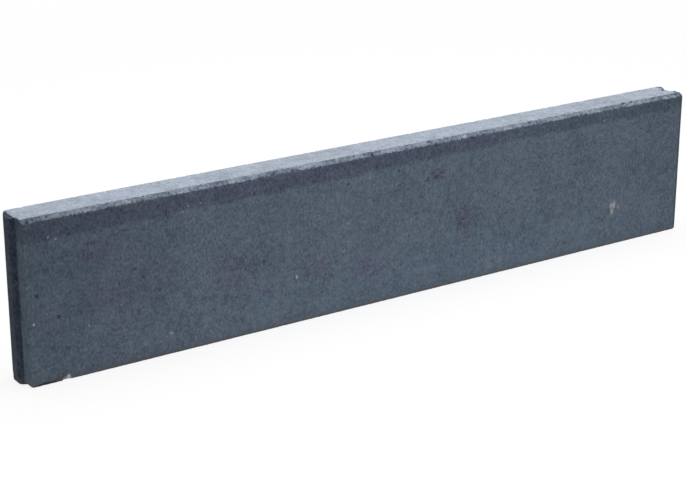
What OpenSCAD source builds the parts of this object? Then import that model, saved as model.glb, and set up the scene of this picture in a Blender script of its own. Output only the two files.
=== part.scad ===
// Concrete kerb stone: a straight edging stone, cast in one piece.
// It stands on its narrow bed, both long top edges are bevelled, and each end carries one
// half of an upright joint: a tongue at -X and the groove for the next stone's tongue at +X.
// The front face looks towards -Y, the bed lies on Z = 0, and the origin is in the middle
// of the bed, halfway along the stone with its tongue. Lengths are in millimetres.

/* [Stone] */
// Laying length, from the shoulders at one end to those at the other
laying_length = 1000; // [300:10:1200]
// Height from the bed to the top
height = 200; // [100:5:400]
// Thickness from the front face to the back face
thickness = 50; // [40:1:120]

/* [Top bevels] */
// Width of each bevel, measured across the top
bevel_width = 5; // [2:0.5:12]
// Drop of each bevel, measured down the face
bevel_drop = 5; // [2:0.5:20]

/* [Arrises] */
// Radius of the upright arrises, where the faces meet the shoulders
end_arris_radius = 2; // [0.5:0.25:4]
// Radius of the long arrises along the bed
bed_arris_radius = 2; // [0.5:0.25:6]

/* [End joint] */
// Width of the tongue where it leaves the shoulders
tongue_root_width = 22; // [18:0.5:26]
// Width of the tongue at its crest, before its edges are rounded
tongue_crest_width = 14; // [10:0.5:17]
// Reach of the tongue past the shoulders
tongue_reach = 7; // [5:0.5:12]
// Radius of the tongue's two crest edges
tongue_crest_radius = 2.5; // [0.5:0.25:3.5]
// Radius in the two corners where the tongue meets the shoulders
tongue_root_radius = 1.5; // [0.5:0.25:2]
// Play on each side between a tongue and the groove that it stands in
joint_play = 1; // [0.5:0.25:2]

/* [Hidden] */

// Flat steps that stand for one rounded corner
corner_steps = 6;
// How far each of the two crossing outlines runs past the stone
overrun = 10;

// Shoulder planes at the two ends, with the origin halfway along tongue and body
tongue_shoulder_x = (tongue_reach - laying_length) / 2;
groove_shoulder_x = tongue_shoulder_x + laying_length;

// The groove follows the tongue, with the play on every side
groove_mouth_width = tongue_root_width + 2 * joint_play;
groove_floor_width = tongue_crest_width + 2 * joint_play;
groove_depth = tongue_reach + joint_play;

function unit(v) = v / norm(v);

// Points that round the corner at b, on the way from a to c, to the radius r
function corner_arc(a, b, c, r) =
    let (
        towards_a = unit(a - b),
        towards_c = unit(c - b),
        half_angle = acos(towards_a * towards_c) / 2,
        centre = b + unit(towards_a + towards_c) * r / sin(half_angle),
        first = b + towards_a * r / tan(half_angle) - centre,
        start = atan2(first.y, first.x),
        turn = sign(cross(towards_c, towards_a)) * (180 - 2 * half_angle)
    )
    [
        for (step = [0 : corner_steps])
            let (angle = start + turn * step / corner_steps)
            centre + r * [cos(angle), sin(angle)]
    ];

// An outline whose corners are given as [point, radius], with radius 0 for a sharp corner
function rounded(corners) =
    let (count = len(corners))
    [
        for (i = [0 : count - 1])
            let (
                before = corners[(i + count - 1) % count][0],
                here = corners[i][0],
                after = corners[(i + 1) % count][0],
                radius = corners[i][1]
            )
            each radius > 0 ? corner_arc(before, here, after, radius) : [here]
    ];

// Half of an end joint's outline, from the shoulder at x to the middle of the tongue or groove.
// side is 1 at the back and -1 at the front, and out is the joint's reach along X.
function joint_half(x, side, root_width, crest_width, out, root_radius, crest_radius) = [
    [[x, side * root_width / 2], root_radius],
    [[x + out, side * crest_width / 2], crest_radius]
];

function reversed(list) = [for (i = [len(list) - 1 : -1 : 0]) list[i]];

function tongue_half(side) = joint_half(
    tongue_shoulder_x, side, tongue_root_width, tongue_crest_width, -tongue_reach,
    tongue_root_radius, tongue_crest_radius
);

function groove_half(side) = joint_half(
    groove_shoulder_x, side, groove_mouth_width, groove_floor_width, -groove_depth,
    tongue_root_radius, tongue_crest_radius
);

function end_arris(x, side) = [[[x, side * thickness / 2], end_arris_radius]];

// The stone seen from above, with the tongue at the left and the groove at the right
module plan_outline() {
    polygon(rounded(concat(
        end_arris(tongue_shoulder_x, -1),
        end_arris(groove_shoulder_x, -1),
        groove_half(-1),
        reversed(groove_half(1)),
        end_arris(groove_shoulder_x, 1),
        end_arris(tongue_shoulder_x, 1),
        tongue_half(1),
        reversed(tongue_half(-1))
    )));
}

// The stone cut across: flat top between two bevels, and a bed with rounded arrises
module cross_section() {
    face = thickness / 2;
    polygon(rounded([
        [[-face, 0], bed_arris_radius],
        [[face, 0], bed_arris_radius],
        [[face, height - bevel_drop], 0],
        [[face - bevel_width, height], 0],
        [[bevel_width - face, height], 0],
        [[-face, height - bevel_drop], 0]
    ]));
}

module kerb_stone() {
    section_length = laying_length + tongue_reach + 2 * overrun;
    color("slategray")
        intersection() {
            translate([0, 0, -overrun])
                linear_extrude(height + 2 * overrun)
                    plan_outline();
            translate([-section_length / 2, 0, 0])
                rotate([90, 0, 90])
                    linear_extrude(section_length)
                        cross_section();
        }
}

kerb_stone();
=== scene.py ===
# %% [markdown]
# # A concrete kerb stone
# The real stone is pressed from damp, through-coloured concrete in a steel mould, so it is one
# piece: a long slab on a narrow bed, with bevelled top edges and half of an upright joint at each
# end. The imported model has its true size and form. This lesson gives it the skin of a casting:
# ragged bevels, worn corners, pits, a chipped foot and the tones of anthracite concrete.

# %% Load the frame
import math

import bpy
import bmesh
import numpy as np
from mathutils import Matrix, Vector, noise


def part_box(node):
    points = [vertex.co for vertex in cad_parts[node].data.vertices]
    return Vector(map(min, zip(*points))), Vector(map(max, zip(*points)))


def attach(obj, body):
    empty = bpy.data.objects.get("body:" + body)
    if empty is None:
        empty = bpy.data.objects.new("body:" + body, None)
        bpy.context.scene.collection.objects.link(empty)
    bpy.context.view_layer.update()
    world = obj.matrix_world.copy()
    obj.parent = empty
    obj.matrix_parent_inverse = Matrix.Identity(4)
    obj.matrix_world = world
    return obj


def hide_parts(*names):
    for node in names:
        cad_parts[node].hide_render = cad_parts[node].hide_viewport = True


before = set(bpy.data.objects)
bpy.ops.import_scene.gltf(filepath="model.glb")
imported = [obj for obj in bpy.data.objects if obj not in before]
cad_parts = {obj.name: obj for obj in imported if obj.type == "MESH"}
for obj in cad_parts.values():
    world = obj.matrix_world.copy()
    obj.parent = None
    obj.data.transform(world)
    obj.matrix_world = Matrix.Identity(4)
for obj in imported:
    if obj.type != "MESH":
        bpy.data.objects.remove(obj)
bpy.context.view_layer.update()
print("nodes in the frame:", sorted(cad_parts))

# %% [markdown]
# ## The sizes of the casting
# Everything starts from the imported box, so the skin can't drift away from the solid. Concrete
# people think in millimetres, so the shape is worked out in millimetres and only the finished
# points are turned into metres. X runs along the stone from the tongue end to the groove end,
# the front face looks towards -Y, and the bed lies on Z = 0.

# %% Sizes in millimetres
MM = 0.001
low, high = (np.array(corner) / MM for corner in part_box("kerb_stone"))
face_y = high[1]
top_z = high[2]
bevel = 5.0
end_arris = 2.0
bed_arris = 2.0
tongue_root, tongue_crest, tongue_reach = 22.0, 14.0, 7.0
joint_play = 1.0
tongue_shoulder = low[0] + tongue_reach
groove_shoulder = high[0]
print("stone", (high - low).round(1).tolist(), "mm, laying length", groove_shoulder - tongue_shoulder)

# %% [markdown]
# ## The camera
# The photograph looks down on the stone from its front left, with a long lens. A camera is easiest
# to understand as a point to aim at, two angles and a distance. The picture's width in pixels and
# the focal length in pixels give the lens, because a lens is only their ratio times the sensor.

# %% Aim the camera
PICTURE_WIDTH = 686
focal_pixels = 1779.0
aim = Vector((-0.0533, 0.0, 0.0811))
view_azimuth = math.radians(-34.5)
view_elevation = math.radians(19.05)
view_distance = 2.233

back = Vector((
    math.sin(view_azimuth) * math.cos(view_elevation),
    -math.cos(view_azimuth) * math.cos(view_elevation),
    math.sin(view_elevation),
))
lens_data = bpy.data.cameras.new("photo_camera")
camera = bpy.data.objects.new("photo_camera", lens_data)
bpy.context.collection.objects.link(camera)
camera.location = aim + back * view_distance
camera.rotation_mode = "QUATERNION"
camera.rotation_quaternion = (-back).to_track_quat("-Z", "Y")
lens_data.lens = focal_pixels / PICTURE_WIDTH * lens_data.sensor_width
bpy.context.scene.camera = camera
print("camera at", [round(v, 3) for v in camera.location], "lens", round(lens_data.lens, 1), "mm")

# %% [markdown]
# ## The end joint as a curve
# Seen from above, one end has a tongue with slanting flanks and the other a groove that fits it
# with a little play. Both stand out, or in, by an amount that depends only on the place across the
# thickness. So an end is a curve, out = f(y). Blurring a plain trapezoid with a short window rounds
# its corners as the mould and wear do, with no arcs to work out.

# %% Curves of the two ends
PROFILE_STEP = 0.05
PROFILE_BLUR = 3.2
profile_y = np.arange(-face_y, face_y + PROFILE_STEP / 2, PROFILE_STEP)


def end_curve(root, crest, out):
    """How far an end stands out from its shoulders, sampled along profile_y."""
    plain = np.interp(np.abs(profile_y), [crest / 2, root / 2], [out, 0.0])
    window = np.hanning(int(PROFILE_BLUR / PROFILE_STEP) | 1)
    soft = np.convolve(plain, window / window.sum(), mode="same")
    past_arris = np.clip(np.abs(profile_y) - (face_y - end_arris), 0.0, end_arris)
    return soft - (end_arris - np.sqrt(end_arris**2 - past_arris**2))


tongue_curve = end_curve(tongue_root, tongue_crest, tongue_reach)
groove_curve = end_curve(tongue_root + 2 * joint_play, tongue_crest + 2 * joint_play,
                         -tongue_reach - joint_play)
print("tongue reach", tongue_curve.max().round(2), "groove depth", -groove_curve.min().round(2))

# %% [markdown]
# ## A grid that is dense where the eye looks
# The skin is a grid wrapped round the stone: one closed ring of points across it, repeated at many
# stations along it, with a small grid on each end. A plain subdivided cube would spend its faces
# evenly. Here the ring is fine at the bevels, the arrises and the joint, and coarse on the faces,
# so the ragged edges get real geometry and the count stays below the limit.

# %% Places round the section


def stretches(start, *parts):
    """Places along a line, where each part is (end, step)."""
    places = [start]
    for end, step in parts:
        count = max(1, round(abs(end - places[-1]) / step))
        places += list(np.linspace(places[-1], end, count + 1)[1:])
    return np.array(places)


CORNER_STEPS = 3
face_places = stretches(bed_arris, (14.0, 2.0), (174.0, 10.0), (186.0, 3.0), (top_z - bevel, 1.5))
half_top = stretches(0.0, (5.0, 2.5), (12.5, 1.25), (face_y - bevel, 2.5))
top_places = np.concatenate([-half_top[:0:-1], half_top])
bed_places = np.sign(top_places) * np.interp(
    np.abs(top_places), [0.0, 12.5, face_y - bevel], [0.0, 12.5, face_y - bed_arris])

half_steps = np.linspace(0.0, 0.5, CORNER_STEPS + 1)
bevel_start = np.array([-face_y, top_z - bevel])
bevel_line = np.array([bevel, bevel])
lower_bevel = bevel_start + half_steps[:, None] * bevel_line
upper_bevel = bevel_start + (0.5 + half_steps[:, None]) * bevel_line


def bed_corner(first_degrees, last_degrees):
    """Half of the rounded arris along the front of the bed."""
    turn = np.radians(np.linspace(first_degrees, last_degrees, CORNER_STEPS + 1))
    centre = np.array([bed_arris - face_y, bed_arris])
    return centre + bed_arris * np.column_stack([np.cos(turn), np.sin(turn)])


def mirrored(line):
    """The same points on the other side of the stone, in the opposite order."""
    return line[::-1] * [-1.0, 1.0]


front = np.concatenate([
    bed_corner(225, 180)[:-1],
    np.column_stack([np.full_like(face_places, -face_y), face_places]),
    lower_bevel[1:],
])
top = np.concatenate([
    upper_bevel[:-1],
    np.column_stack([top_places, np.full_like(top_places, top_z)]),
    mirrored(upper_bevel)[1:],
])
bed = np.concatenate([
    bed_corner(225, 270)[:-1],
    np.column_stack([bed_places, np.zeros_like(bed_places)]),
    mirrored(bed_corner(225, 270))[1:],
])
rear = front * [-1.0, 1.0]
ring = np.concatenate([front[:-1], top[:-1], rear[:0:-1], bed[:0:-1]])
up_count, across_count = len(front) - 1, len(top) - 1
STATION_STEP = 1.4
stations = stretches(tongue_shoulder, (groove_shoulder, STATION_STEP))
print(len(ring), "points round the section at", len(stations), "stations")

# %% [markdown]
# ## Ragged bevels
# When the mould lifts off, damp concrete tears a little, so the edges of the bevels wander by a
# millimetre or so. Each bevel has a lower edge on the face and an upper edge on the top. Both are
# moved by noise along the stone, and the move fades out over the next few rows of the ring, so
# neighbouring quads stretch instead of folding.

# %% Move the bevel edges by noise
RAGGED_WAVES = [(40.0, 0.4), (9.0, 0.7), (3.7, 0.9)]
FADE_ON_FACE, FADE_ON_TOP = 9.0, 6.0


def wander(seed):
    """A ragged line along the stone, in millimetres."""
    return np.array([
        sum(size * noise.noise(Vector((x / wave, seed, wave))) for wave, size in RAGGED_WAVES)
        for x in stations
    ])


def edge_weights(y, z):
    """How much each ring point follows the lower and the upper edge of the front bevel."""
    on_bevel = (z > top_z - bevel) & (y < bevel - face_y)
    up_bevel = np.where(on_bevel, (y + face_y) / bevel, 0.0)
    on_face = np.isclose(y, -face_y)
    below = np.where(on_face, np.clip(1 - (top_z - bevel - z) / FADE_ON_FACE, 0, 1), 0.0)
    on_top = np.isclose(z, top_z)
    behind = np.where(on_top, np.clip(1 - (y + face_y - bevel) / FADE_ON_TOP, 0, 1), 0.0)
    return np.where(on_bevel, 1 - up_bevel, below), np.where(on_bevel, up_bevel, behind)


grid = np.zeros((len(stations), len(ring), 3))
grid[:, :, 0] = stations[:, None]
grid[:, :, 1:] = ring
EDGE_DROP = 0.2
FRONT_BEVEL, REAR_BEVEL = (1, 3.0, 0.6), (-1, 17.0, 0.12)
for side, seed, rim_share in (FRONT_BEVEL, REAR_BEVEL):
    lower, upper = edge_weights(side * ring[:, 0], ring[:, 1])
    grid[:, :, 2] -= np.outer(wander(seed) + EDGE_DROP, lower)
    grid[:, :, 1] += side * np.outer(rim_share * wander(seed + 5.0), upper)
print("lower bevel edge between", grid[:, up_count - CORNER_STEPS, 2].min().round(2),
      "and", grid[:, up_count - CORNER_STEPS, 2].max().round(2), "mm")

# %% [markdown]
# ## Bending the ends into tongue and groove
# Near an end, every point slides along X by the end curve at its own y. The slide fades over the
# last few stations. The end's own grid is a Coons patch: it blends the four sides of the ring that
# surround it, so it always meets them exactly.

# %% Slide the ends and close them
END_FADE = 26.0


def tongue_end(y):
    """Where the tongue end of the stone lies along X at each y."""
    return tongue_shoulder - np.interp(y, profile_y, tongue_curve)


def groove_end(y):
    """Where the groove end of the stone lies along X at each y."""
    return groove_shoulder + np.interp(y, profile_y, groove_curve)


near_tongue = np.clip(1 - (stations - tongue_shoulder) / END_FADE, 0, 1)[:, None]
near_groove = np.clip(1 - (groove_shoulder - stations) / END_FADE, 0, 1)[:, None]
grid[:, :, 0] += near_tongue * (tongue_end(grid[:, :, 1]) - tongue_shoulder)
grid[:, :, 0] += near_groove * (groove_end(grid[:, :, 1]) - groove_shoulder)

up_numbers = np.arange(up_count + 1)
across_numbers = np.arange(across_count + 1)
front_side = up_numbers
top_side = up_count + across_numbers
rear_side = 2 * up_count + across_count - up_numbers
bed_side = (len(ring) - across_numbers) % len(ring)


def close_end(loop, first_new):
    """Points inside one end, and the vertex number at every place of its grid."""
    s = ((top[:, 0] - top[0, 0]) / (top[-1, 0] - top[0, 0]))[:, None, None]
    t = ((front[:, 1] - front[0, 1]) / (front[-1, 1] - front[0, 1]))[None, :, None]
    before, behind = loop[front_side][None, :, :], loop[rear_side][None, :, :]
    below, above = loop[bed_side][:, None, :], loop[top_side][:, None, :]
    corners = ((1 - s) * (1 - t) * before[:, :1] + s * (1 - t) * behind[:, :1]
               + (1 - s) * t * before[:, -1:] + s * t * behind[:, -1:])
    patch = (1 - s) * before + s * behind + (1 - t) * below + t * above - corners
    numbers = np.zeros(patch.shape[:2], dtype=int)
    numbers[0, :], numbers[-1, :] = front_side, rear_side
    numbers[:, 0], numbers[:, -1] = bed_side, top_side
    inside = numbers[1:-1, 1:-1]
    inside[:] = first_new + np.arange(inside.size).reshape(inside.shape)
    return patch[1:-1, 1:-1].reshape(-1, 3), numbers


side_count = grid.shape[0] * grid.shape[1]
tongue_points, tongue_numbers = close_end(grid[0], side_count)
tongue_points[:, 0] = tongue_end(tongue_points[:, 1])
groove_points, groove_numbers = close_end(grid[-1], side_count + len(tongue_points))
groove_points[:, 0] = groove_end(groove_points[:, 1])
groove_numbers[groove_numbers < len(ring)] += side_count - len(ring)
points = np.concatenate([grid.reshape(-1, 3), tongue_points, groove_points])


def quads(numbers):
    """Four vertex numbers for every cell of a grid of vertex numbers."""
    return np.stack([numbers[:-1, :-1], numbers[:-1, 1:], numbers[1:, 1:], numbers[1:, :-1]],
                    axis=-1).reshape(-1, 4)


side_numbers = np.arange(side_count).reshape(grid.shape[:2])
side_numbers = np.concatenate([side_numbers, side_numbers[:, :1]], axis=1)
faces = np.concatenate([quads(side_numbers), quads(tongue_numbers), quads(groove_numbers)])
print(len(points), "points,", 2 * len(faces), "triangles")

# %% [markdown]
# ## Worn corners
# The corners of a stone get knocked in the yard, so the foot of each end is rounded, and the tongue's
# top is worn lower than the rest. A square corner becomes a quarter disc if every point in it is
# drawn in towards the middle of the arc until its greater coordinate has become its radius. That
# keeps all cells open, while cutting the corner off would crush them.

# %% Round the corners of the ends


def ramp(values, start, end):
    """0 before start, 1 after end, and smooth between them."""
    t = np.clip((values - start) / (end - start), 0, 1)
    return t * t * (3 - 2 * t)


def rounded(inwards, upwards, radius):
    """Distances from the end and from the bed or top, after rounding the corner between them."""
    a = np.clip(radius - inwards, 0, radius)
    b = np.clip(radius - upwards, 0, radius)
    squeeze = np.maximum(a, b) / np.maximum(np.hypot(a, b), 1e-9)
    squeeze = np.where(np.minimum(a, b) > 0, squeeze, 1.0)
    return inwards + a * (1 - squeeze), upwards + b * (1 - squeeze)


TONGUE_TOP_DROP, TONGUE_DROP_START = 1.8, 180.0
TONGUE_FOOT_RADIUS, TONGUE_TOP_RADIUS = 5.0, 1.5
GROOVE_FOOT_RADIUS, GROOVE_TOP_RADIUS = 4.0, 2.5
past_shoulder = ramp(tongue_shoulder - points[:, 0], 0.2, 2.5)
points[:, 2] -= TONGUE_TOP_DROP * past_shoulder * ramp(points[:, 2], TONGUE_DROP_START, top_z)
for radius, at_top in ((TONGUE_FOOT_RADIUS, False), (TONGUE_TOP_RADIUS, True)):
    height = top_z - points[:, 2] if at_top else points[:, 2]
    inwards, height = rounded(points[:, 0] - tongue_end(points[:, 1]), height, radius)
    points[:, 0] = tongue_end(points[:, 1]) + inwards
    points[:, 2] = top_z - height if at_top else height
for radius, at_top in ((GROOVE_FOOT_RADIUS, False), (GROOVE_TOP_RADIUS, True)):
    height = top_z - points[:, 2] if at_top else points[:, 2]
    inwards, height = rounded(groove_end(points[:, 1]) - points[:, 0], height, radius)
    points[:, 0] = groove_end(points[:, 1]) - inwards
    points[:, 2] = top_z - height if at_top else height
print("box with worn corners", points.min(0).round(2).tolist(), points.max(0).round(2).tolist())

# %% [markdown]
# ## Making the mesh and its relief
# The points become a mesh, and Blender works out its normals. The relief then moves each point a
# little way in along its normal. It only ever goes inwards, so the skin can't grow out of the
# solid's box. Bevels and arrises are rough and crumbly, the pressed faces nearly smooth. How far a
# point has sunk is kept on the mesh, because dirt gathers in hollows and the material can use it.

# %% Build the skin
skin_mesh = bpy.data.meshes.new("kerb_skin")
skin_mesh.from_pydata((points * MM).tolist(), [], faces.tolist())
work = bmesh.new()
work.from_mesh(skin_mesh)
bmesh.ops.recalc_face_normals(work, faces=work.faces)
work.to_mesh(skin_mesh)
work.free()
skin_mesh.update()
skin = bpy.data.objects.new("kerb_skin", skin_mesh)
bpy.context.collection.objects.link(skin)

normals = np.zeros(len(skin_mesh.vertices) * 3, dtype=np.float32)
skin_mesh.vertex_normals.foreach_get("vector", normals)
normals = normals.reshape(-1, 3).astype(float)
print("normals point out:", bool((normals[:, 2][points[:, 2] > top_z - 0.01] > 0).all()))

# %% Rough bevels and arrises


def noise_at(wave, seed):
    """Smooth noise from about -1 to 1 at every point of the skin."""
    offset = Vector((seed, -seed, 2 * seed))
    return np.array([noise.noise(Vector(p) / wave + offset) for p in points])


from_face = face_y - np.abs(points[:, 1])
on_bevel = ramp(normals[:, 2], 0.15, 0.5) * ramp(-normals[:, 2], -0.97, -0.85)
bevel_rim = ramp(points[:, 2], top_z - 1.2, top_z - 0.1) * ramp(-from_face, -bevel - 1.6, -bevel + 0.6)
near_bed = ramp(-points[:, 2], -9.0, -2.0) * ramp(-from_face, -4.0, -1.0)
GENTLE_WAVE, TORN_WAVE, CRUMBLE_WAVE = 16.0, 2.9, 5.5
GENTLE_DEPTH, TORN_DEPTH, CRUMBLE_DEPTH, BED_DEPTH = 0.10, 0.7, 1.1, 0.5
CLEANER_REAR = 0.35
gentle = GENTLE_DEPTH + GENTLE_DEPTH * noise_at(GENTLE_WAVE, 1.0)
torn = np.clip(0.3 + 0.6 * noise_at(TORN_WAVE, 7.0), 0, None)
crumbled = ramp(noise_at(CRUMBLE_WAVE, 4.0), 0.15, 0.6)
damage = np.where(points[:, 1] < 0, 1.0, CLEANER_REAR)
hollow = damage * np.clip(on_bevel + bevel_rim, 0, 1) * (TORN_DEPTH * torn + CRUMBLE_DEPTH * crumbled)
hollow += BED_DEPTH * near_bed * torn
print("bevels up to", hollow.max().round(2), "mm deep")

# %% [markdown]
# Some hollows are places that the photograph shows: a notch in the bevel, pits along its upper rim,
# crumbs broken from the groove end's top edge and a chip out of the foot near the tongue. Each is an
# ellipsoid given by its centre and reach. Noise added to the distance makes its outline ragged.

# %% Notch, pits, crumbs and chip
CRUMBLY_WAVE, CRUMBLY_SHARE = 2.4, 0.35
crumbly = CRUMBLY_SHARE * noise_at(CRUMBLY_WAVE, 11.0)


def bowl(place, y, z, reach, deepest):
    """A ragged hollow, with its place along the stone measured from the tongue shoulder."""
    centre = np.array([tongue_shoulder + place, y, z])
    distance = np.linalg.norm((points - centre) / reach, axis=1) + crumbly
    return deepest * ramp(-distance, -1.0, -0.25)


NOTCH_PLACE, NOTCH_REACH, NOTCH_DEPTH = 472.0, (2.6, 4.0, 4.5), 2.2
RIM_PIT_REACH = 3.0
RIM_PITS = [(893.0, 5.2, 2.7), (907.0, 4.6, 2.4), (529.0, 8.0, 1.0), (580.0, 6.0, 0.9),
            (599.0, 4.0, 0.9), (96.0, 3.0, 1.2), (153.0, 4.0, 1.0), (717.0, 4.0, 1.0)]
END_CRUMBS = [(-16.0, 4.0), (1.0, 4.5), (12.5, 3.0), (19.0, 4.5)]
CRUMB_LENGTH, CRUMB_HEIGHT, CRUMB_DEPTH = 3.6, 3.0, 1.5
CHIP_PLACE, CHIP_REACH, CHIP_DEPTH = 45.0, (7.5, 8.0, 7.0), 2.4
hollow += bowl(NOTCH_PLACE, 1.5 - face_y, top_z - 4.0, NOTCH_REACH, NOTCH_DEPTH)
for place, length, deepest in RIM_PITS:
    hollow += bowl(place, bevel - face_y, top_z, (length, RIM_PIT_REACH, RIM_PIT_REACH), deepest)
for across, width in END_CRUMBS:
    end_place = groove_end(across) - tongue_shoulder
    hollow += bowl(end_place - 1.0, across, top_z, (CRUMB_LENGTH, width, CRUMB_HEIGHT), CRUMB_DEPTH)

sink = gentle + hollow
moved = points - normals * sink[:, None]
chip = bowl(CHIP_PLACE, -face_y, 0.0, CHIP_REACH, CHIP_DEPTH) * (1 + crumbly)
moved[:, 1] += chip
moved = np.clip(moved, low, high)
skin_mesh.vertices.foreach_set("co", (moved * MM).astype(np.float32).ravel())
skin_mesh.polygons.foreach_set("use_smooth", np.ones(len(skin_mesh.polygons), dtype=bool))
sunk = skin_mesh.attributes.new("sunk", "FLOAT", "POINT")
sunk.data.foreach_set("value", hollow.astype(np.float32))
skin_mesh.update()
print("relief up to", sink.max().round(2), "mm deep")

# %% [markdown]
# Points that are pressed in along their normals draw together at an edge, and at a crumbled corner
# they can fold small faces over. A fold shows as two neighbouring triangles that turn by far more
# than any real edge here does. A quad can be split along either diagonal, so both are looked at.
# Averaging the points round a fold with their neighbours opens it again.

# %% Open the folds
SHARPEST_TURN = math.radians(80)
MOST_ROUNDS = 20
HALF_WAY = 0.5


def folded_points(mesh, split):
    """Numbers of the points round folds, with every quad split along one of its diagonals."""
    halves = mesh.copy()
    bmesh.ops.triangulate(halves, faces=halves.faces, quad_method=split)
    folds = [edge for edge in halves.edges if edge.calc_face_angle(0.0) > SHARPEST_TURN]
    numbers = {corner.index for edge in folds for face in edge.link_faces for corner in face.verts}
    halves.free()
    return numbers


work = bmesh.new()
work.from_mesh(skin_mesh)
work.verts.ensure_lookup_table()
for rounds in range(MOST_ROUNDS):
    folded = sorted(folded_points(work, "FIXED") | folded_points(work, "ALTERNATE"))
    if not folded:
        break
    bmesh.ops.smooth_vert(work, verts=[work.verts[number] for number in folded], factor=HALF_WAY,
                          use_axis_x=True, use_axis_y=True, use_axis_z=True)
work.to_mesh(skin_mesh)
work.free()
skin_mesh.update()
print("folds opened in", rounds, "rounds, points still folded:", len(folded))

# %% [markdown]
# ## Writing shader maths as Python
# A material is a graph of nodes, and graphs are hard to read as code. This small class wraps one
# output socket. Adding or multiplying two of them adds the Math node that does it, so a mask can be
# written as a formula. Any other node comes from one method that takes the node's type, its
# settings and what goes into its sockets.

# %% A socket that behaves like a number


class Wire:
    """One output socket of a node tree, which grows Math nodes when it is used in a formula."""

    def __init__(self, socket):
        self.socket = socket

    @staticmethod
    def node(tree, kind, settings=(), sockets=(), output=0):
        """Adds any node: its settings first, then the values or links of its sockets."""
        made = tree.nodes.new(kind)
        for name, value in dict(settings).items():
            setattr(made, name, value)
        for name, value in dict(sockets).items():
            if isinstance(value, Wire):
                tree.links.new(value.socket, made.inputs[name])
            else:
                made.inputs[name].default_value = value
        return Wire(made.outputs[output])

    def math(self, operation, first, second=0.0):
        return Wire.node(self.socket.id_data, "ShaderNodeMath", {"operation": operation},
                         {0: first, 1: second})

    def __add__(self, other):
        return self.math("ADD", self, other)

    def __sub__(self, other):
        return self.math("SUBTRACT", self, other)

    def __mul__(self, other):
        return self.math("MULTIPLY", self, other)

    def __rsub__(self, other):
        return self.math("SUBTRACT", other, self)

    def __abs__(self):
        return self.math("ABSOLUTE", self)

    __radd__ = __add__
    __rmul__ = __mul__

    def over(self, start, end):
        """0 below start, 1 above end, smooth between them."""
        return Wire.node(self.socket.id_data, "ShaderNodeMapRange", {"interpolation_type": "SMOOTHSTEP"},
                         {"Value": self, "From Min": start, "From Max": end})

    def under(self, start, end):
        """1 below start, 0 above end, smooth between them."""
        return 1 - self.over(start, end)


def mix(mask, under, over):
    """The colour over where the mask is 1, the colour under where it is 0."""
    return Wire.node(mask.socket.id_data, "ShaderNodeMix", {"data_type": "RGBA"},
                     {0: mask, 6: under, 7: over}, 2)


def blend(way, colour, amount):
    """A colour that is multiplied by an amount, or that has it added, over the surface."""
    return Wire.node(colour.socket.id_data, "ShaderNodeMix", {"data_type": "RGBA", "blend_type": way},
                     {0: 1.0, 6: colour, 7: amount}, 2)


print("wires ready")

# %% [markdown]
# ## The tones of anthracite concrete
# The colour goes through the whole casting, but it is never even. Cement paste, sand and pigment
# leave soft patches from blue-grey to violet-grey, an upright grain where the mould slid off, light
# grains of sand and dark pores. A picture laid on the stone would fit one side only. Here every mask
# is a formula of the place on the stone, in millimetres, so the finish runs on round each corner.

# %% Colours


def srgb(red, green, blue):
    """A colour as an image editor shows it, turned into the linear numbers that a shader takes."""
    def linear(v):
        v = v / 255
        return v / 12.92 if v <= 0.04045 else ((v + 0.055) / 1.055) ** 2.4
    return (linear(red), linear(green), linear(blue), 1.0)


SLATE_BLUE = srgb(79, 92, 105)
SLATE_VIOLET = srgb(82, 86, 103)
VIOLET_BAND = srgb(67, 68, 86)
DAMP_BAND = srgb(59, 70, 83)
DUSTY_TOP_WITH_PAINTED_LIGHT = srgb(147, 156, 168)
LILAC_TOP_WITH_PAINTED_LIGHT = srgb(147, 155, 169)
TORN_EDGE_WITH_PAINTED_LIGHT = srgb(102, 113, 127)
JOINT_DARK = srgb(43, 53, 67)
SAND_GRAIN = srgb(150, 162, 170)
# dark of pores and dirt, also used for painted shadow and painted shade
PORE_AND_SHADE_DARK = srgb(36, 42, 52)
LIME_STAIN = srgb(156, 154, 154)
PINK_STAIN = srgb(160, 150, 164)
GREEN_FLECK = srgb(104, 126, 126)
FRESH_CHIP = srgb(186, 188, 194)
RUSTY_SOIL = srgb(72, 66, 66)
BED_DIRT = srgb(58, 52, 56)
SANDY_FOOT = srgb(93, 89, 92)
print("plain concrete in linear light:", [round(v, 3) for v in SLATE_BLUE[:3]])

# %% [markdown]
# The material starts from Blender's Principled shader. Object coordinates give the place on the
# stone in metres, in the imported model's own frame, and one node turns them into millimetres. The
# surface's normal tells faces, bevels and top apart, and the sunk depth comes from the mesh.

# %% Start the concrete and read the place on the stone
concrete = bpy.data.materials.new("anthracite_concrete")
concrete.use_nodes = True
tree = concrete.node_tree
shader = tree.nodes["Principled BSDF"]
metres = Wire.node(tree, "ShaderNodeTexCoord", output="Object")
mm = Wire.node(tree, "ShaderNodeVectorMath", {"operation": "SCALE"}, {0: metres, "Scale": 1 / MM})
x, y, z = (Wire.node(tree, "ShaderNodeSeparateXYZ", (), {0: mm}, axis) for axis in range(3))
along = x - tongue_shoulder
normal = Wire.node(tree, "ShaderNodeNewGeometry", output="Normal")
facing_up = Wire.node(tree, "ShaderNodeSeparateXYZ", (), {0: normal}, 2)
hollowness = Wire.node(tree, "ShaderNodeAttribute", {"attribute_name": "sunk"}, output="Fac")


def placed(scale, offset):
    """The place in millimetres, scaled and moved."""
    return Wire.node(tree, "ShaderNodeVectorMath", {"operation": "MULTIPLY_ADD"},
                     {0: mm, 1: tuple(scale), 2: tuple(offset)})


def grains(wave, detail, rough, seed, upright=1.0):
    """Noise from 0 to 1 with features about wave millimetres across, and taller if upright is more."""
    spot = placed((1 / wave, 1 / wave, 1 / (wave * upright)), (seed, seed, seed))
    return Wire.node(tree, "ShaderNodeTexNoise", (),
                     {"Vector": spot, "Scale": 1.0, "Detail": detail, "Roughness": rough})


def swing(noise_wire):
    """The same noise about 0, so that it lightens as much as it darkens."""
    return noise_wire - 0.5


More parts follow.
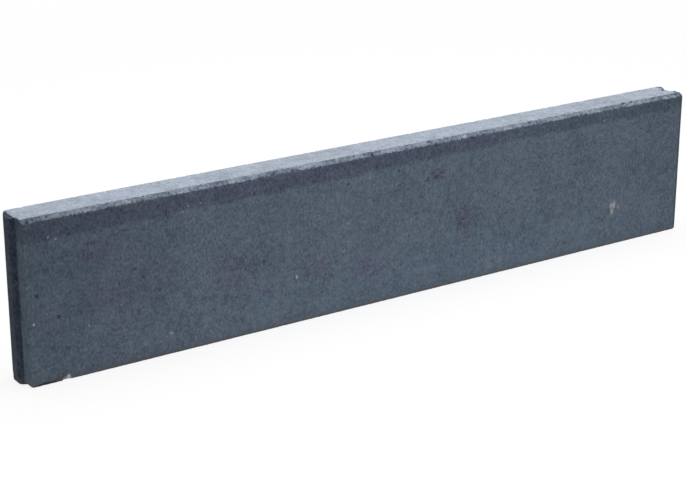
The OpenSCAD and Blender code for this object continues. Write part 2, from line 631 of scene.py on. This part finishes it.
def dots(spacing, seed):
    """Distance to the nearest of many scattered points, in shares of their spacing."""
    spot = placed((1 / spacing,) * 3, (seed, seed, seed))
    return Wire.node(tree, "ShaderNodeTexVoronoi", (), {"Vector": spot, "Scale": 1.0})


print("material", concrete.name)

# %% [markdown]
# Noises of several sizes make the stone look pressed from grains: patches as wide as a hand, clouds,
# a mottle of a centimetre, crumbs, a fine fibre that is drawn out upwards, and a grit below a
# millimetre that shows only from near. A sum of them is the grain, which later lightens and darkens
# every tone.

# %% Patches and grain
patches = grains(110.0, 2.0, 0.5, 3.1)
clouds = grains(45.0, 3.0, 0.6, 6.3)
mottle = grains(10.0, 4.0, 0.72, 8.4)
fibre = grains(2.9, 2.0, 0.6, 5.7, upright=1.4)
crumbs = grains(3.0, 2.0, 0.6, 2.2)
grit = grains(0.9, 2.0, 0.6, 1.9)
VIOLET_SHARE, VIOLET_CAST = 0.14, 0.23
violet_cast = along.over(30.0, 120.0) * along.under(220.0, 420.0) * VIOLET_CAST
violet = (patches.over(0.5, 0.68) * VIOLET_SHARE + violet_cast) * crumbs.over(0.36, 0.6)
colour = mix(violet, SLATE_BLUE, SLATE_VIOLET)
FIBRE_GAIN, GRIT_GAIN, MOTTLE_GAIN, CLOUD_GAIN = 1.7, 1.6, 1.45, 0.6
grain = swing(fibre) * FIBRE_GAIN + swing(grit) * GRIT_GAIN
grain = grain + swing(mottle) * MOTTLE_GAIN + swing(clouds) * CLOUD_GAIN
print("grain from", len(tree.nodes), "nodes")

# %% [markdown]
# The front face of the photograph has wide, faint spots too, some violet and some just dark. They
# are part of the casting, so they come before the grain. Each is an ellipsoid round a place on the
# face, and noise added to the distance tears its outline, so that it doesn't look drawn.

# %% Violet and cloudy spots
VIOLET_SPOTS = [(110.0, 82.0, 46.0, 46.0), (88.0, 150.0, 26.0, 20.0), (267.0, 85.0, 48.0, 32.0),
                (320.0, 55.0, 20.0, 16.0), (393.0, 69.0, 24.0, 16.0), (467.0, 55.0, 50.0, 25.0),
                (617.0, 79.0, 18.0, 30.0), (40.0, 69.0, 8.0, 12.0), (570.0, 155.0, 28.0, 18.0)]
CLOUDY_SPOTS = [(167.0, 73.0, 18.0, 22.0), (290.0, 93.0, 22.0, 20.0), (623.0, 80.0, 22.0, 30.0),
                (913.0, 113.0, 17.0, 25.0), (963.0, 73.0, 24.0, 26.0), (800.0, 113.0, 16.0, 16.0)]
MARK_DEPTH = 5.0


def ragged_spot(centre, reach, softness, raggedness):
    """A mask that is 1 round a place on the stone and ends in a ragged outline."""
    scale = 1 / np.array(reach)
    distance = Wire.node(tree, "ShaderNodeVectorMath", {"operation": "LENGTH"},
                         {0: placed(scale, -scale * centre)}, "Value")
    return (distance + raggedness).under(1.0 - softness, 1.0)


def mark(place, height, wide, tall, softness, raggedness):
    """A ragged spot on the front face."""
    return ragged_spot((tongue_shoulder + place, -face_y, height), (wide, MARK_DEPTH, tall),
                       softness, raggedness)


VIOLET_STRENGTH, CLOUDY_STRENGTH = 0.8, 0.12
SPOT_SOFTNESS = 0.9
torn_outline = swing(mottle) * 2.2 + swing(clouds) * 1.6
for spot in VIOLET_SPOTS:
    colour = mix(mark(*spot, SPOT_SOFTNESS, torn_outline) * VIOLET_STRENGTH, colour, SLATE_VIOLET)
for spot in CLOUDY_SPOTS:
    colour = mix(mark(*spot, SPOT_SOFTNESS, torn_outline) * CLOUDY_STRENGTH, colour, PORE_AND_SHADE_DARK)
print(len(VIOLET_SPOTS), "violet and", len(CLOUDY_SPOTS), "cloudy spots")

# %% [markdown]
# A darker, damper-looking strip runs under the bevel, where the mix was pressed hardest. Its foot is
# nearly straight and drops a little towards the tongue. It is violet from the tongue to past the
# middle, in some patches more than in others, and fades a little towards the groove end.

# %% Band under the bevel
BAND_FOOT, BAND_RISE, BAND_STRENGTH = 170.0, 0.010, 0.73
BAND_SWAY, BAND_RAGGEDNESS = 8.0, 6.0
FADE_START, FADE_END, BAND_FADE = 700.0, 950.0, 0.2
VIOLET_FULL_LENGTH, VIOLET_LENGTH = 540.0, 760.0
VIOLET_BASE, VIOLET_PATCHES = 0.5, 0.4
band_foot = BAND_FOOT + along * BAND_RISE + swing(clouds) * BAND_SWAY + swing(crumbs) * BAND_RAGGEDNESS
band = (z - band_foot).over(-2.0, 4.0) * (BAND_STRENGTH - along.over(FADE_START, FADE_END) * BAND_FADE)
violet_stretch = patches.over(0.40, 0.58) * VIOLET_PATCHES + VIOLET_BASE
violet_stretch = violet_stretch * along.under(VIOLET_FULL_LENGTH, VIOLET_LENGTH)
colour = mix(band, colour, mix(violet_stretch, DAMP_BAND, VIOLET_BAND))
print("band", round(top_z - bevel - BAND_FOOT, 1), "mm tall at the tongue end")

# %% [markdown]
# The top and the bevels are pale, partly from dust and partly from painted light that falls from above.
# How far the surface faces up is 0 on an upright face, about 0.7 on a bevel and 1 on the top, so two
# ramps of it pick out the bevels and the flat. The tongue is dark all over, its top too, and the inside
# of the groove gets the same dark skin.

# %% Pale top with painted light, and dark joint
RAGGED_HEIGHT = 5.0
DUSTY_SHARE, GROOVE_DARKNESS = 0.55, 0.8
ragged = swing(crumbs) * RAGGED_HEIGHT
# the pale top and bevels are partly dust and partly painted light from above
pale_and_painted_light_edge = (z + ragged).over(top_z - bevel - 0.4, top_z - bevel + 0.8)
pale_dust_and_painted_light = facing_up.over(0.2, 0.5) * pale_and_painted_light_edge
flat_top = facing_up.over(0.8, 0.96)
dusty_stretch = grains(30.0, 2.0, 0.5, 7.7).over(0.45, 0.62)
colour = mix(pale_dust_and_painted_light, colour, mix(dusty_stretch * DUSTY_SHARE, TORN_EDGE_WITH_PAINTED_LIGHT, DUSTY_TOP_WITH_PAINTED_LIGHT))
colour = mix(flat_top, colour, mix(clouds.over(0.4, 0.6), DUSTY_TOP_WITH_PAINTED_LIGHT, LILAC_TOP_WITH_PAINTED_LIGHT))
groove_depth = tongue_reach + joint_play
groove_mouth = tongue_root / 2 + joint_play
in_groove = abs(y).under(groove_mouth - 1.5, groove_mouth) * facing_up.under(0.3, 0.6)
in_groove = in_groove * (x - groove_shoulder).over(-groove_depth - 2.0, -groove_depth - 0.5)
colour = mix((-1 * along).over(0.2, 1.2), colour, JOINT_DARK)
colour = mix(in_groove * GROOVE_DARKNESS, colour, JOINT_DARK)
print("dark groove", 2 * groove_mouth, "mm wide and", groove_depth, "mm deep")

# %% [markdown]
# Now the grain goes over all of it. Multiplying alone would leave dark tones flat, so part of the grain
# is added as a plain grey. Painted shade darkens both ends a little, the tongue end most, and painted
# light makes the faces lighter towards their foot.

# %% Grain, painted shade at the ends and painted light at the foot
GRAIN_STRENGTH, GREY_GRAIN = 0.5, 0.038
TONGUE_SHADE, TONGUE_SHADE_LENGTH = 0.245, 320.0
GROOVE_SHADE, GROOVE_SHADE_LENGTH = 0.12, 300.0
FOOT_PAINTED_LIGHT, FOOT_PAINTED_LIGHT_HEIGHT = 0.19, 95.0
colour = blend("MULTIPLY", colour, 1 + grain * GRAIN_STRENGTH)
colour = blend("ADD", colour, grain * (GREY_GRAIN + (pale_dust_and_painted_light - flat_top * 0.6) * (2 * GREY_GRAIN)))
# painted shade: both ends get darker, the tongue end most, and the flat top is left out
tongue_shade = along.under(-5.0, TONGUE_SHADE_LENGTH) * TONGUE_SHADE
groove_shade = (groove_shoulder - x).under(0.0, GROOVE_SHADE_LENGTH) * GROOVE_SHADE
colour = blend("MULTIPLY", colour, 1 - (tongue_shade + groove_shade) * (1 - flat_top))
# painted light: the faces get lighter towards their foot
colour = blend("MULTIPLY", colour, 1 + z.under(5.0, FOOT_PAINTED_LIGHT_HEIGHT) * FOOT_PAINTED_LIGHT)
print("ends darker by", TONGUE_SHADE, "and", GROOVE_SHADE)

# %% [markdown]
# Dirt sits in the hollows that the mesh has, and in a broken line along the rim between bevel and top.
# Grains of sand and open pores come from scattered points: a mask of the nearest point's distance is a
# field of small dots, a cloud mask thins it out, and the grit frays each dot. Sandy soil tints the
# lowest centimetre. The foot has a dark, ragged line of dirt, and the groove end's upright arrises a
# ragged painted shade.

# %% Dirt, sand, pores, dark foot and painted shade on the end arrises
HOLLOW_DIRT, RIM_DIRT = 0.8, 0.5
FRAY = 0.13
SAND_SHOWS, PORES_SHOW, PINHOLES_SHOW = 0.55, 0.8, 0.6
SANDY_HEIGHT, SANDY_SHARE = 11.0, 0.5
BED_LINE_SHOWS, END_ARRIS_SHADE_SHOWS = 0.35, 0.45
rim = abs(abs(y) - (face_y - bevel)).under(0.3, 1.3) * z.over(top_z - 1.6, top_z - 0.8)
dirt = hollowness.over(0.5, 1.6) * HOLLOW_DIRT + rim * mottle.over(0.45, 0.6) * RIM_DIRT
colour = mix(dirt.over(0.0, 1.0), colour, PORE_AND_SHADE_DARK)
frayed = swing(grit) * FRAY
sand = (dots(13.0, 4.4) + frayed).under(0.05, 0.10) * clouds.over(0.5, 0.6) * along.over(0.0, 4.0)
pores = (dots(24.0, 9.1) + frayed).under(0.04, 0.09) * clouds.under(0.5, 0.6)
pinholes = (dots(6.0, 7.3) + frayed).under(0.05, 0.12)
colour = mix(sand * SAND_SHOWS, colour, SAND_GRAIN)
colour = mix(pores * PORES_SHOW, colour, PORE_AND_SHADE_DARK)
colour = mix(pinholes * PINHOLES_SHOW, colour, PORE_AND_SHADE_DARK)
bed_line = (z + ragged).under(1.2, 4.4) * mottle.over(0.34, 0.52)
# painted shade on the upright arrises of the groove end
end_arris_shade = (x + swing(crumbs) * 3).over(groove_shoulder - 6.5, groove_shoulder - 3.0)
end_arris_shade = end_arris_shade * abs(y).over(face_y - 3.5, face_y - 1.5)
colour = mix(z.under(0.0, SANDY_HEIGHT) * SANDY_SHARE, colour, SANDY_FOOT)
colour = mix(bed_line * BED_LINE_SHOWS, colour, BED_DIRT)
colour = mix(end_arris_shade * END_ARRIS_SHADE_SHOWS, colour, PORE_AND_SHADE_DARK)
print("tones from", len(tree.nodes), "nodes")

# %% [markdown]
# The photograph also shows single marks on the front face: a limy stain near the groove end, a smudge
# under the band, pores, flecks of sand, the fresh break of the chip with soil beside it, and a dash of
# painted shadow along the foot near the tongue.
# Each is a row of numbers: place along the stone, height, half width, half height, colour, strength.
# They lie over the grain, because they came later than the casting. Dark marks are pores, or the painted
# shadow along the foot, so they are also kept as dents for the relief. The crumbs of the groove end get
# a painted shade in their hollows too.

# %% Marks on the front face
MARK_SOFTNESS, CRUMB_PAINTED_SHADE = 0.35, 0.9
CRUMB_SPOT_LENGTH, CRUMB_SPOT_HEIGHT, CRUMB_SPOT_INSET = 7.0, 4.0, 3.5
PINHOLE_DENT = 0.5
MARKS = [
    (880.0, 60.5, 5.0, 3.5, PINK_STAIN, 0.30),
    (874.3, 57.3, 3.6, 4.6, LIME_STAIN, 0.70),
    (879.5, 57.0, 3.0, 5.2, PINK_STAIN, 0.70),
    (887.3, 54.0, 2.4, 3.4, PINK_STAIN, 0.40),
    (884.0, 54.7, 1.5, 3.2, RUSTY_SOIL, 0.55),
    (870.5, 51.4, 3.0, 5.2, RUSTY_SOIL, 0.50),
    (876.3, 49.5, 3.4, 5.8, LIME_STAIN, 0.65),
    (871.8, 66.0, 2.2, 2.0, GREEN_FLECK, 0.70),
    (569.0, 155.0, 17.0, 11.0, VIOLET_BAND, 0.25),
    (570.0, 152.0, 5.5, 3.4, PORE_AND_SHADE_DARK, 0.60),
    (579.0, 156.0, 5.0, 2.4, PORE_AND_SHADE_DARK, 0.45),
    (563.0, 157.0, 4.0, 2.4, PORE_AND_SHADE_DARK, 0.40),
    (579.0, 149.0, 4.5, 2.2, PORE_AND_SHADE_DARK, 0.40),
    (572.0, 161.0, 5.0, 2.0, PORE_AND_SHADE_DARK, 0.35),
    (557.0, 150.5, 3.2, 3.4, PORE_AND_SHADE_DARK, 0.60),
    (14.0, 109.0, 3.4, 3.2, PORE_AND_SHADE_DARK, 0.80),
    (39.0, 79.0, 2.8, 3.4, PORE_AND_SHADE_DARK, 0.80),
    (311.0, 90.0, 2.8, 2.8, PORE_AND_SHADE_DARK, 0.55),
    (358.0, 60.0, 1.6, 3.2, SAND_GRAIN, 0.85),
    (31.0, 175.0, 1.7, 1.4, SAND_GRAIN, 0.42),
    (40.0, 171.0, 1.8, 1.1, SAND_GRAIN, 0.48),
    (8.0, 76.0, 1.8, 2.2, SAND_GRAIN, 0.60),
    (182.0, 27.0, 3.0, 1.8, SAND_GRAIN, 0.55),
    (951.0, 196.6, 4.0, 2.0, SAND_GRAIN, 0.50),
    (968.0, 197.0, 6.0, 2.2, SAND_GRAIN, 0.60),
    (984.0, 196.8, 5.0, 2.4, SAND_GRAIN, 0.70),
    (40.0, 5.0, 9.0, 6.5, RUSTY_SOIL, 0.45),
    (42.5, 1.5, 3.6, 3.4, LIME_STAIN, 0.75),
    (47.0, 2.8, 3.8, 4.6, FRESH_CHIP, 0.95),
    # painted shadow along the foot near the tongue, in the dark pore colour
    (20.0, 1.6, 15.0, 3.0, PORE_AND_SHADE_DARK, 0.90),
]
broken_outline = swing(crumbs) * 1.3 + swing(grit) * 1.2
dents = pores + pinholes * PINHOLE_DENT
for place, height, wide, tall, shade, strength in MARKS:
    spot = mark(place, height, wide, tall, MARK_SOFTNESS, broken_outline) * strength
    colour = mix(spot, colour, shade)
    if shade == PORE_AND_SHADE_DARK:
        dents = dents + spot
# painted shade in the hollows of the crumbs on the groove end's top edge
for across, width in END_CRUMBS:
    centre = (groove_end(across) - CRUMB_SPOT_INSET, across, top_z)
    reach = (CRUMB_SPOT_LENGTH, width + 1, CRUMB_SPOT_HEIGHT)
    crumb_shade = ragged_spot(centre, reach, MARK_SOFTNESS, broken_outline)
    colour = mix(crumb_shade * CRUMB_PAINTED_SHADE, colour, PORE_AND_SHADE_DARK)
print(len(MARKS), "marks on the front face and", len(END_CRUMBS), "dark crumbs")

# %% [markdown]
# Concrete is matt all over, with a small change of roughness from grain to grain. The finest relief
# is too small for the mesh, so a Bump node takes it: mottle, fibre, crumbs and grit, with the dents
# sunk.

# %% Join the surface
LEAST_ROUGH, ROUGH_SPREAD, DULL_SPECULAR = 0.82, 0.16, 0.3
BUMP_STRENGTH, BUMP_HEIGHT, DENT_DEPTH = 0.7, 0.5, 1.2
MOTTLE_RELIEF, FIBRE_RELIEF, CRUMB_RELIEF, GRIT_RELIEF = 0.6, 0.5, 0.5, 0.35
tree.links.new(colour.socket, shader.inputs["Base Color"])
roughness = LEAST_ROUGH + mottle * ROUGH_SPREAD
tree.links.new(roughness.socket, shader.inputs["Roughness"])
relief = mottle * MOTTLE_RELIEF + fibre * FIBRE_RELIEF + crumbs * CRUMB_RELIEF + grit * GRIT_RELIEF
relief = relief - dents * DENT_DEPTH
bump = Wire.node(tree, "ShaderNodeBump", (),
                 {"Strength": BUMP_STRENGTH, "Distance": BUMP_HEIGHT * MM, "Height": relief})
tree.links.new(bump.socket, shader.inputs["Normal"])
shader.inputs["Specular IOR Level"].default_value = DULL_SPECULAR
skin_mesh.materials.append(concrete)
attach(skin, "root")
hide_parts("kerb_stone")
print("concrete on", skin.name, "with", len(tree.nodes), "nodes")

# %% [markdown]
# ## Floor and light
# The stone stands on a plain white floor under soft studio light. The camera is meant to see floor
# and sky as white, also by way of gloss or glass, without more light falling on the stone. A Light
# Path node tells such rays from the ones that gather light: only they see the glow. The floor's glow
# is partial near the stone, so its soft shadow stays, and full far away, so no horizon shows.

# %% Floor
SEEING_RAYS = ("Is Camera Ray", "Is Glossy Ray", "Is Transmission Ray")


def seen(node_tree):
    """1 for rays that look at the background, 0 for rays that gather light."""
    by_camera, by_gloss, by_glass = (
        Wire.node(node_tree, "ShaderNodeLightPath", output=ray) for ray in SEEING_RAYS)
    return (by_camera + by_gloss + by_glass).over(0.0, 1.0)


FLOOR_GLOW = 0.85
FLOOR_TONE, FLOOR_ROUGHNESS = 0.9, 0.9
SHADOW_REACH, ALL_WHITE_FROM = 0.7, 2.5
FLOOR_RADIUS = 9.0
floor_white = bpy.data.materials.new("white_floor")
floor_white.use_nodes = True
floor_tree = floor_white.node_tree
floor_shader = floor_tree.nodes["Principled BSDF"]
floor_shader.inputs["Base Color"].default_value = (FLOOR_TONE, FLOOR_TONE, FLOOR_TONE, 1)
floor_shader.inputs["Roughness"].default_value = FLOOR_ROUGHNESS
glow = Wire.node(floor_tree, "ShaderNodeEmission", (), {"Color": (1, 1, 1, 1), "Strength": 1.0})
floor_place = Wire.node(floor_tree, "ShaderNodeTexCoord", output="Object")
from_stone = Wire.node(floor_tree, "ShaderNodeVectorMath", {"operation": "LENGTH"},
                       {0: floor_place}, "Value")
far_off = from_stone.over(SHADOW_REACH, ALL_WHITE_FROM)
glowing = seen(floor_tree) * (FLOOR_GLOW + far_off * (1 - FLOOR_GLOW))
shown = Wire.node(floor_tree, "ShaderNodeMixShader", (),
                  {0: glowing, 1: Wire(floor_shader.outputs[0]), 2: glow})
floor_tree.links.new(shown.socket, floor_tree.nodes["Material Output"].inputs["Surface"])
bpy.ops.mesh.primitive_circle_add(vertices=96, radius=FLOOR_RADIUS, fill_type="NGON", location=(0, 0, 0))
floor = bpy.context.object
floor.name = "studio_floor"
floor.data.materials.append(floor_white)
print("floor", FLOOR_RADIUS * 2, "m across")

# %% [markdown]
# A wide panel overhead lights the top more than the faces, which makes the pale top edge of the
# photograph. A low panel at the front right fills the long face and leaves the tongue end darker.
# A dim sky all round lifts the shadows.

# %% Light
LIT_POINT = Vector((0, 0, 0.1))


def panel(name, wide, tall, place, power):
    """A soft panel that looks at the stone."""
    data = bpy.data.lights.new(name, "AREA")
    data.shape = "RECTANGLE"
    data.size = wide
    data.size_y = tall
    data.energy = power
    lamp = bpy.data.objects.new(name, data)
    bpy.context.collection.objects.link(lamp)
    lamp.location = place
    lamp.rotation_mode = "QUATERNION"
    lamp.rotation_quaternion = (LIT_POINT - lamp.location).to_track_quat("-Z", "Y")


OVERHEAD_WATTS, FRONT_WATTS = 69.5, 13.7
panel("overhead_panel", 2.4, 2.4, Vector((0.2, 0.15, 2.6)), OVERHEAD_WATTS)
panel("front_panel", 2.6, 1.0, Vector((0.8, -2.8, 0.6)), FRONT_WATTS)

AMBIENT = 0.41
world = bpy.data.worlds.new("studio")
bpy.context.scene.world = world
world.use_nodes = True
sky = world.node_tree.nodes["Background"]
sky.inputs["Color"].default_value = (1, 1, 1, 1)
sky_level = AMBIENT + seen(world.node_tree) * (1 - AMBIENT)
world.node_tree.links.new(sky_level.socket, sky.inputs["Strength"])
bpy.context.scene.view_settings.view_transform = "Standard"
